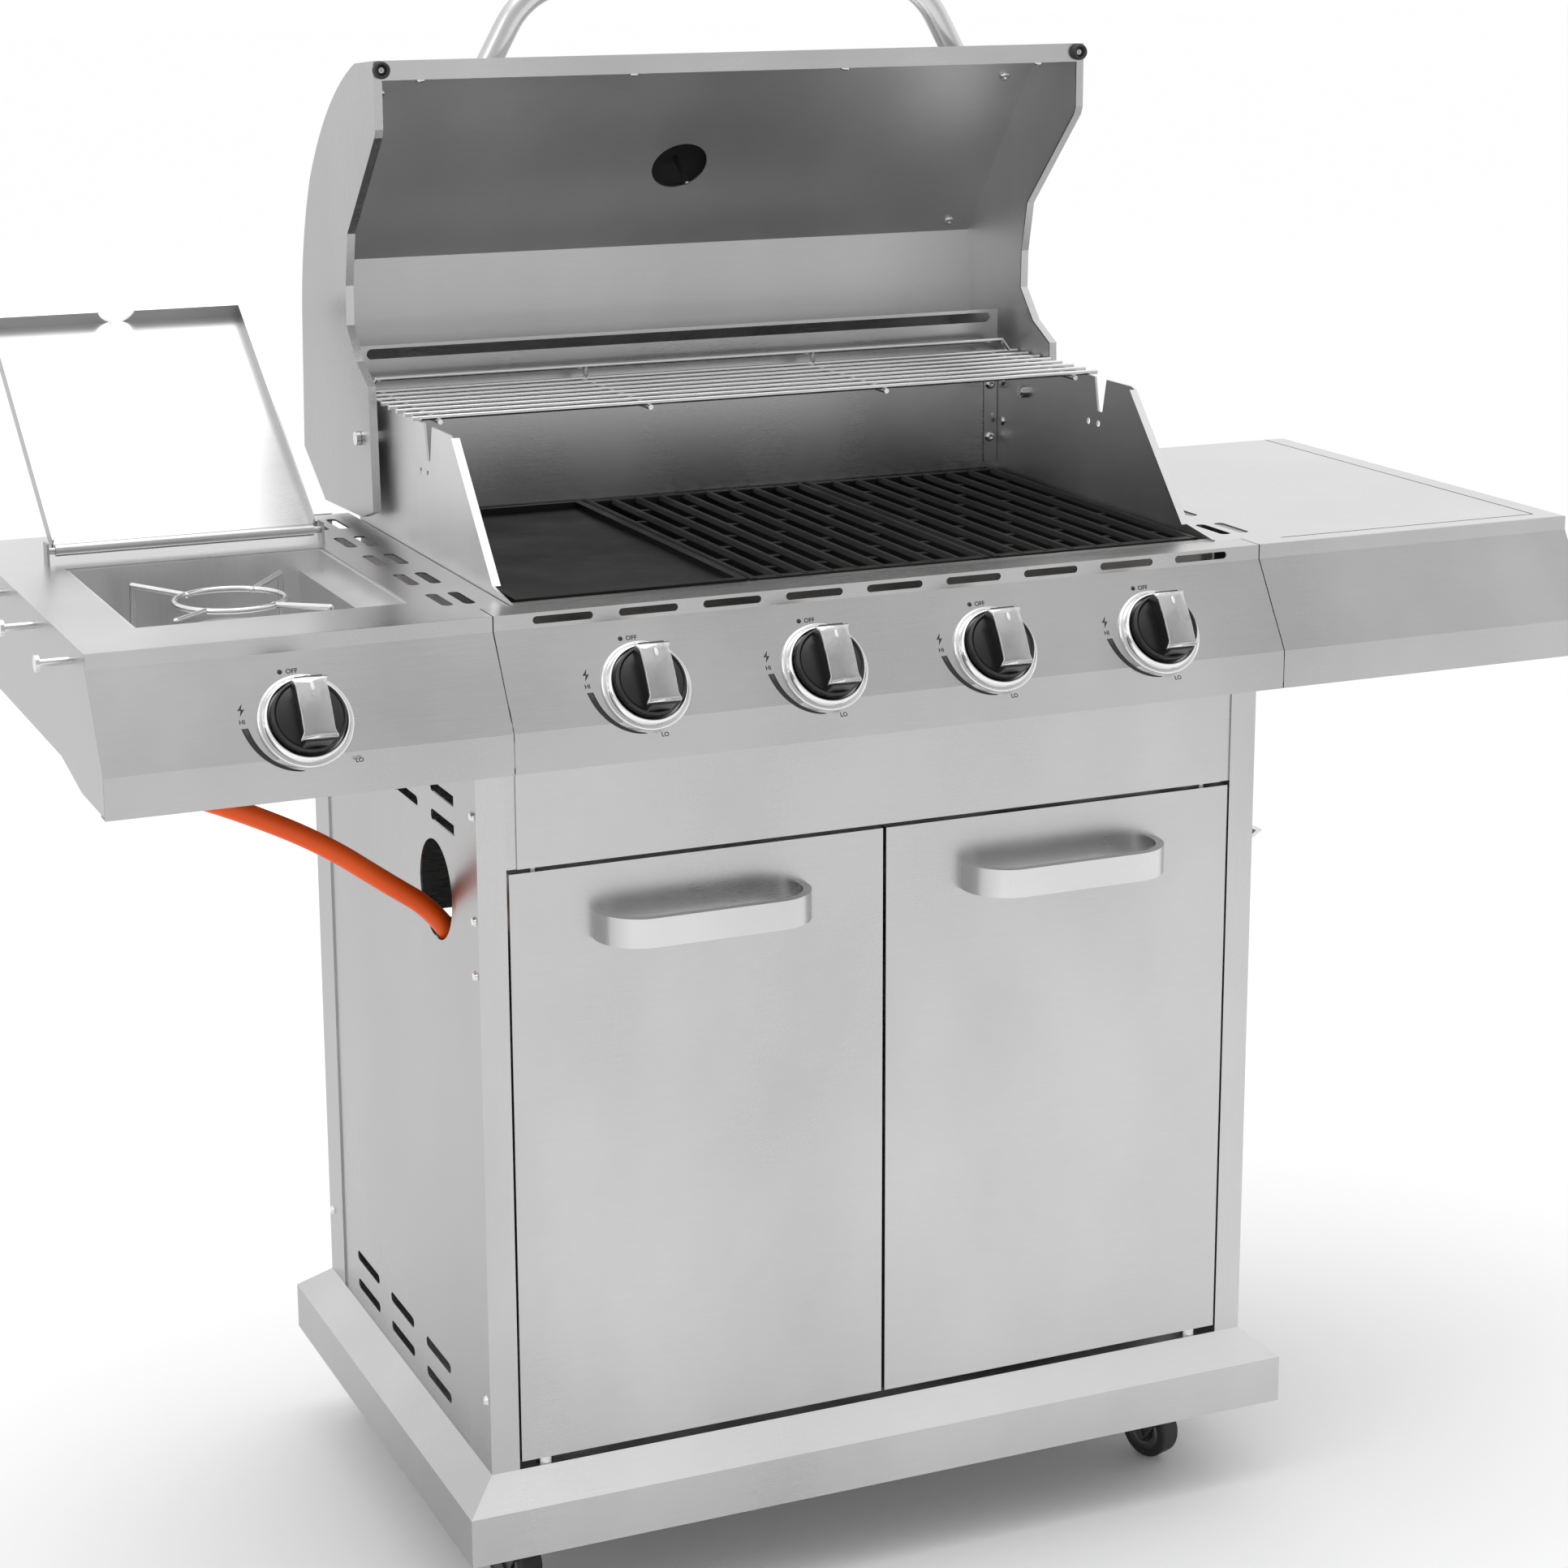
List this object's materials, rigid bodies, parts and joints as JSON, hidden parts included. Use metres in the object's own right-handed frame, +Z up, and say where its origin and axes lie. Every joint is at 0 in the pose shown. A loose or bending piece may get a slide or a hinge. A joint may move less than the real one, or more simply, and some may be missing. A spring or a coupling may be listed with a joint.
{
  "type": "gas barbecue grill",
  "caption": "Stainless gas grill cart: hooded firebox, sloped knob panel, side burner and side shelf, two-door cabinet on casters, gas hose",
  "frame": {"origin": "centre of the bounding box's bottom face at rest, lids open, at the level of the floor; the hose and its regulator are not counted", "axes": "+X to the right seen from the front, +Y from the doors to the back, +Z up"},
  "size_m": [1.325, 0.656, 1.325],
  "materials": {
    "brushed_steel": "fine horizontal brushing",
    "lid_steel": "brushed, slightly glossier than the cart",
    "wire_steel": "bright plated wire and screws",
    "fire_steel": "dull stainless sheet, lightly heat-stained",
    "cast_iron": "matt enamelled cast iron with fine grain",
    "chrome": "polished plating",
    "knob_black": "satin black",
    "wheel_rubber": "dusty black rubber",
    "zinc": "zinc plated, slightly dull",
    "hose_orange": "smooth orange rubber hose",
    "burner_brass": "brass cap, dulled by heat"
  },
  "bodies": {
    "frame": {"base_pan": "brushed_steel", "cabinet_posts": "brushed_steel", "side_panel_left": "brushed_steel", "side_panel_right": "brushed_steel", "rear_panel": "brushed_steel", "upper_fascia": "brushed_steel", "firebox_cheeks": "brushed_steel", "firebox_rear_wall": "brushed_steel", "firebox_trough": "fire_steel", "burner_tubes": "fire_steel", "heat_tents": "fire_steel", "gas_manifold": "zinc", "control_panel": "brushed_steel", "shelf_fascias": "brushed_steel", "knob_bezels": "chrome", "left_shelf": "brushed_steel", "right_shelf": "brushed_steel", "side_burner_tray": "brushed_steel", "side_burner": "burner_brass", "tool_pegs": "wire_steel", "bottle_opener": "wire_steel", "fasteners": "wire_steel", "gas_hose": "hose_orange", "gas_inlet": "zinc", "gas_regulator": "zinc", "door_pins": "wire_steel"},
    "lid": {"lid_skin": "lid_steel", "lid_cheeks": "lid_steel", "lid_liner": "lid_steel", "lid_handle": "lid_steel", "lid_thermometer": "chrome"},
    "side_lid": {"side_lid": "brushed_steel"},
    "pan_support": {"pan_support": "wire_steel"},
    "warming_rack": {"warming_rack": "wire_steel"},
    "griddle": {"griddle": "cast_iron"},
    "grate_middle": {"grate_middle": "cast_iron"},
    "grate_right": {"grate_right": "cast_iron"},
    "drip_tray": {"drip_tray": "brushed_steel"},
    "door_left": {"door_left": "brushed_steel", "door_handle_left": "brushed_steel"},
    "door_right": {"door_right": "brushed_steel", "door_handle_right": "brushed_steel"},
    "knob_stem_side": {"knob_stem_side": "chrome"},
    "knob_side": {"knob_side": "knob_black"},
    "knob_stem_one": {"knob_stem_one": "chrome"},
    "knob_one": {"knob_one": "knob_black"},
    "knob_stem_two": {"knob_stem_two": "chrome"},
    "knob_two": {"knob_two": "knob_black"},
    "knob_stem_three": {"knob_stem_three": "chrome"},
    "knob_three": {"knob_three": "knob_black"},
    "knob_stem_four": {"knob_stem_four": "chrome"},
    "knob_four": {"knob_four": "knob_black"},
    "caster_fork_front_left": {"caster_fork_front_left": "zinc"},
    "caster_wheel_front_left": {"caster_wheel_front_left": "wheel_rubber"},
    "caster_fork_rear_left": {"caster_fork_rear_left": "zinc"},
    "caster_wheel_rear_left": {"caster_wheel_rear_left": "wheel_rubber"},
    "caster_fork_front_right": {"caster_fork_front_right": "zinc"},
    "caster_wheel_front_right": {"caster_wheel_front_right": "wheel_rubber"},
    "caster_fork_rear_right": {"caster_fork_rear_right": "zinc"},
    "caster_wheel_rear_right": {"caster_wheel_rear_right": "wheel_rubber"}
  },
  "joints": [
    {"name": "lid_hinge", "type": "hinge", "parent": "frame", "child": "lid", "pos_m": [0.0135, 0.12245, 0.93606], "axis": [1, 0, 0], "range_deg": [0, 90]},
    {"name": "side_lid_hinge", "type": "hinge", "parent": "frame", "child": "side_lid", "pos_m": [-0.5825, 0.09745, 0.86506], "axis": [1, 0, 0], "range_deg": [0, 145]},
    {"name": "door_left_hinge", "type": "hinge", "parent": "frame", "child": "door_left", "pos_m": [-0.2885, -0.22455, 0.14756], "axis": [0, 0, -1], "range_deg": [0, 100]},
    {"name": "door_right_hinge", "type": "hinge", "parent": "frame", "child": "door_right", "pos_m": [0.3155, -0.22455, 0.14756], "axis": [0, 0, 1], "range_deg": [0, 100]},
    {"name": "drip_tray_slide", "type": "slide", "parent": "frame", "child": "drip_tray", "axis": [0, 1, 0], "range_m": [0, 0.3]},
    {"name": "griddle_lift", "type": "slide", "parent": "frame", "child": "griddle", "axis": [0, 0, -1], "range_m": [-0.06, 0]},
    {"name": "grate_middle_lift", "type": "slide", "parent": "frame", "child": "grate_middle", "axis": [0, 0, -1], "range_m": [-0.06, 0]},
    {"name": "grate_right_lift", "type": "slide", "parent": "frame", "child": "grate_right", "axis": [0, 0, -1], "range_m": [-0.06, 0]},
    {"name": "pan_support_lift", "type": "slide", "parent": "frame", "child": "pan_support", "axis": [0, 0, -1], "range_m": [-0.06, 0]},
    {"name": "warming_rack_lift", "type": "slide", "parent": "frame", "child": "warming_rack", "axis": [0, 0, -1], "range_m": [-0.06, 0]},
    {"name": "knob_side_push", "type": "slide", "parent": "frame", "child": "knob_stem_side", "axis": [0, 0.8466, -0.5322], "range_m": [0, 0.005], "stiffness_N_per_m": 900, "springref_m": -0.002},
    {"name": "knob_side_turn", "type": "hinge", "parent": "knob_stem_side", "child": "knob_side", "pos_m": [-0.4813, -0.27959, 0.79606], "axis": [0, -0.8466, 0.5322], "range_deg": [0, 225]},
    {"name": "knob_one_push", "type": "slide", "parent": "frame", "child": "knob_stem_one", "axis": [0, 0.8466, -0.5322], "range_m": [0, 0.005], "stiffness_N_per_m": 900, "springref_m": -0.002},
    {"name": "knob_one_turn", "type": "hinge", "parent": "knob_stem_one", "child": "knob_one", "pos_m": [-0.2121, -0.27959, 0.79606], "axis": [0, -0.8466, 0.5322], "range_deg": [0, 225]},
    {"name": "knob_two_push", "type": "slide", "parent": "frame", "child": "knob_stem_two", "axis": [0, 0.8466, -0.5322], "range_m": [0, 0.005], "stiffness_N_per_m": 900, "springref_m": -0.002},
    {"name": "knob_two_turn", "type": "hinge", "parent": "knob_stem_two", "child": "knob_two", "pos_m": [-0.0617, -0.27959, 0.79606], "axis": [0, -0.8466, 0.5322], "range_deg": [0, 225]},
    {"name": "knob_three_push", "type": "slide", "parent": "frame", "child": "knob_stem_three", "axis": [0, 0.8466, -0.5322], "range_m": [0, 0.005], "stiffness_N_per_m": 900, "springref_m": -0.002},
    {"name": "knob_three_turn", "type": "hinge", "parent": "knob_stem_three", "child": "knob_three", "pos_m": [0.0887, -0.27959, 0.79606], "axis": [0, -0.8466, 0.5322], "range_deg": [0, 225]},
    {"name": "knob_four_push", "type": "slide", "parent": "frame", "child": "knob_stem_four", "axis": [0, 0.8466, -0.5322], "range_m": [0, 0.005], "stiffness_N_per_m": 900, "springref_m": -0.002},
    {"name": "knob_four_turn", "type": "hinge", "parent": "knob_stem_four", "child": "knob_four", "pos_m": [0.2391, -0.27959, 0.79606], "axis": [0, -0.8466, 0.5322], "range_deg": [0, 225]},
    {"name": "swivel_front_left", "type": "hinge", "parent": "frame", "child": "caster_fork_front_left", "pos_m": [-0.2915, -0.18755, 0.07706], "axis": [0, 0, 1], "continuous": true},
    {"name": "wheel_spin_front_left", "type": "hinge", "parent": "caster_fork_front_left", "child": "caster_wheel_front_left", "pos_m": [-0.29766, -0.17063, 0.02706], "axis": [0.9397, 0.342, 0], "continuous": true},
    {"name": "swivel_rear_left", "type": "hinge", "parent": "frame", "child": "caster_fork_rear_left", "pos_m": [-0.2915, 0.18045, 0.07706], "axis": [0, 0, 1], "continuous": true},
    {"name": "wheel_spin_rear_left", "type": "hinge", "parent": "caster_fork_rear_left", "child": "caster_wheel_rear_left", "pos_m": [-0.29766, 0.19737, 0.02706], "axis": [0.9397, 0.342, 0], "continuous": true},
    {"name": "swivel_front_right", "type": "hinge", "parent": "frame", "child": "caster_fork_front_right", "pos_m": [0.3185, -0.18755, 0.07706], "axis": [0, 0, 1], "continuous": true},
    {"name": "wheel_spin_front_right", "type": "hinge", "parent": "caster_fork_front_right", "child": "caster_wheel_front_right", "pos_m": [0.31234, -0.17063, 0.02706], "axis": [0.9397, 0.342, 0], "continuous": true},
    {"name": "swivel_rear_right", "type": "hinge", "parent": "frame", "child": "caster_fork_rear_right", "pos_m": [0.3185, 0.18045, 0.07706], "axis": [0, 0, 1], "continuous": true},
    {"name": "wheel_spin_rear_right", "type": "hinge", "parent": "caster_fork_rear_right", "child": "caster_wheel_rear_right", "pos_m": [0.31234, 0.19737, 0.02706], "axis": [0.9397, 0.342, 0], "continuous": true}
  ]
}
